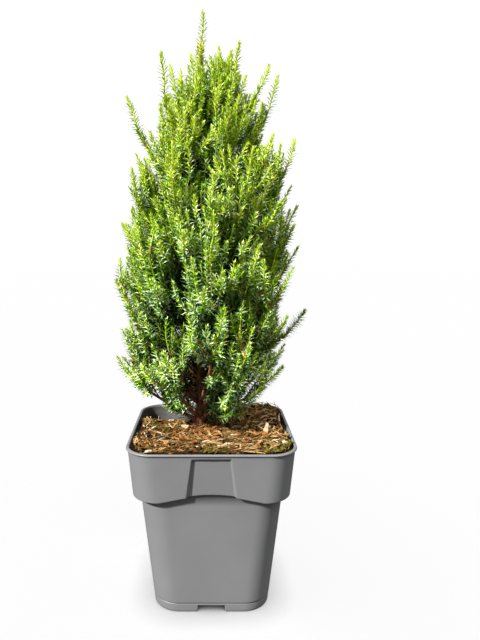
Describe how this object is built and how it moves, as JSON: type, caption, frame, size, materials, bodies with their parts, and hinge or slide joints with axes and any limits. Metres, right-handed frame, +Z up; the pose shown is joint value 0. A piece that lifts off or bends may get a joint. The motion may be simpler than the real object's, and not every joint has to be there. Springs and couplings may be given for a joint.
{
  "type": "potted compressa common juniper",
  "caption": "Young columnar juniper with dense upright shoots of short awl needles, in a square tapered plastic nursery pot filled with potting mix under bark mulch.",
  "frame": {"origin": "on the ground, under the middle of the pot, which is also close to the middle of the whole plant seen from above", "axes": "+Z up along the trunk, -Y towards the front of the pictured pot, +X to the right of the picture"},
  "size_m": [0.1388, 0.1307, 0.419],
  "materials": {
    "pot_plastic": "satin, moulded",
    "potting_mix": "rough, moist",
    "bark_mulch": "rough",
    "bark": "rough",
    "needles": "satin"
  },
  "bodies": {
    "root": {"bark_mulch": "bark_mulch", "bough_low_1": "bark", "bough_low_2": "bark", "bough_low_3": "bark", "bough_low_4": "bark", "bough_low_5": "bark", "bough_low_6": "bark", "bough_skirt_1": "bark", "bough_skirt_2": "bark", "bough_skirt_3": "bark", "bough_skirt_4": "bark", "bough_skirt_5": "bark", "bough_skirt_6": "bark", "bough_skirt_7": "bark", "foliage_crest_1": "needles", "foliage_crest_2": "needles", "foliage_crest_3": "needles", "foliage_high_1": "needles", "foliage_high_2": "needles", "foliage_high_3": "needles", "foliage_high_4": "needles", "foliage_high_5": "needles", "foliage_high_6": "needles", "foliage_high_7": "needles", "foliage_leader": "needles", "foliage_low_1": "needles", "foliage_low_2": "needles", "foliage_low_3": "needles", "foliage_low_4": "needles", "foliage_low_5": "needles", "foliage_low_6": "needles", "foliage_middle_1": "needles", "foliage_middle_2": "needles", "foliage_middle_3": "needles", "foliage_middle_4": "needles", "foliage_middle_5": "needles", "foliage_middle_6": "needles", "foliage_skirt_1": "needles", "foliage_skirt_2": "needles", "foliage_skirt_3": "needles", "foliage_skirt_4": "needles", "foliage_skirt_5": "needles", "foliage_skirt_6": "needles", "foliage_skirt_7": "needles", "foliage_spur_1": "needles", "foliage_stray_1": "needles", "foliage_top_1": "needles", "foliage_top_2": "needles", "foliage_top_3": "needles", "foliage_top_4": "needles", "foliage_top_5": "needles", "pot": "pot_plastic", "potting_mix": "potting_mix", "trunk": "bark"}
  },
  "joints": []
}
